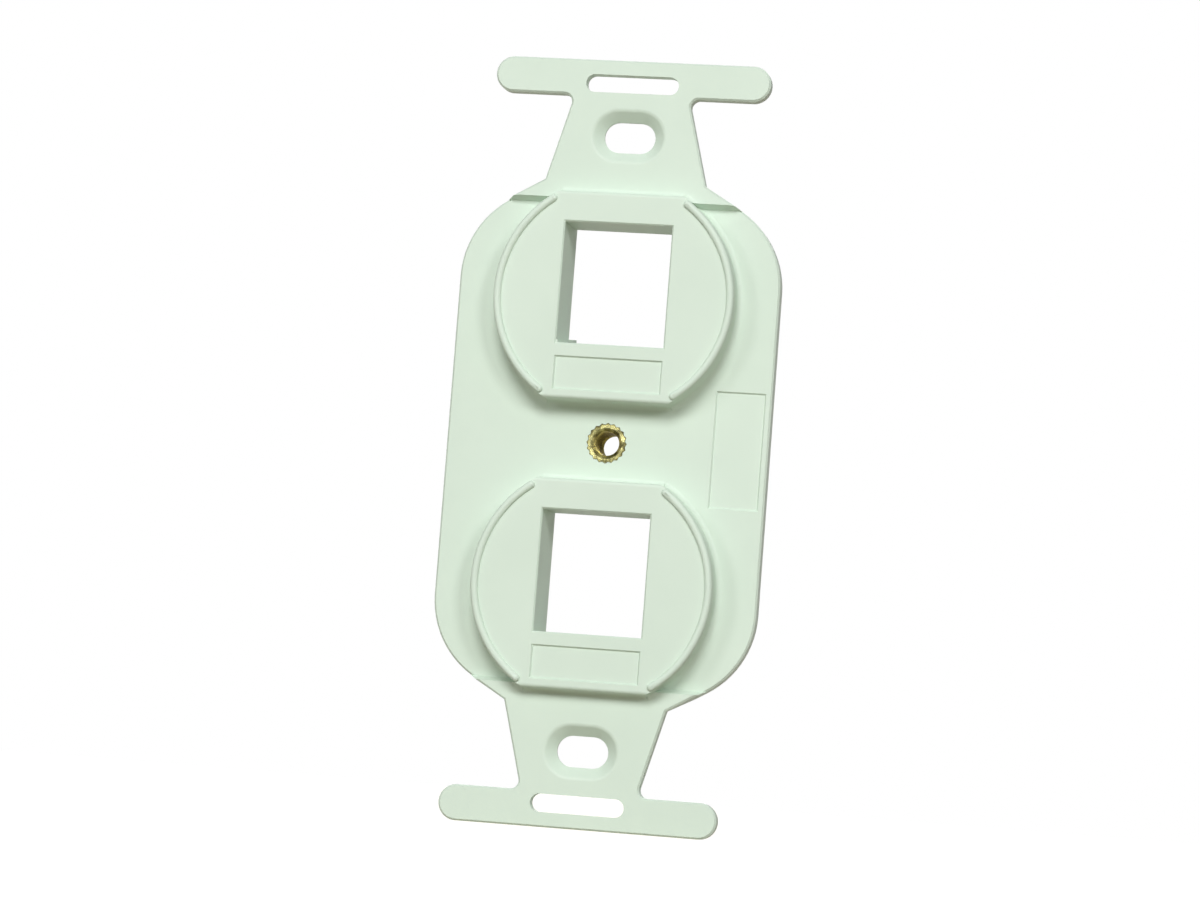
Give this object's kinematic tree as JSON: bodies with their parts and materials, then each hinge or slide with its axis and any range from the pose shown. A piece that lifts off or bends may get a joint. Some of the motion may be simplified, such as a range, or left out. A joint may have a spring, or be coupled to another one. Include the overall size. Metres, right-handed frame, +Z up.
{
  "type": "keystone faceplate",
  "caption": "Plastic mounting frame that fits two keystone jacks behind a duplex wall plate, with box screw slots and a brass insert for the cover screw.",
  "frame": {"origin": "where the threaded insert's axis meets the front of the main plate", "axes": "+X to the right seen from the room, +Y into the wall, +Z up along the line of the box screws"},
  "size_m": [0.044, 0.0122, 0.104],
  "materials": {
    "frame_plastic": "pale green-white moulded ABS, satin",
    "insert_brass": "turned and knurled, bare"
  },
  "bodies": {
    "root": {"mounting_frame": "frame_plastic", "threaded_insert": "insert_brass"}
  },
  "joints": []
}
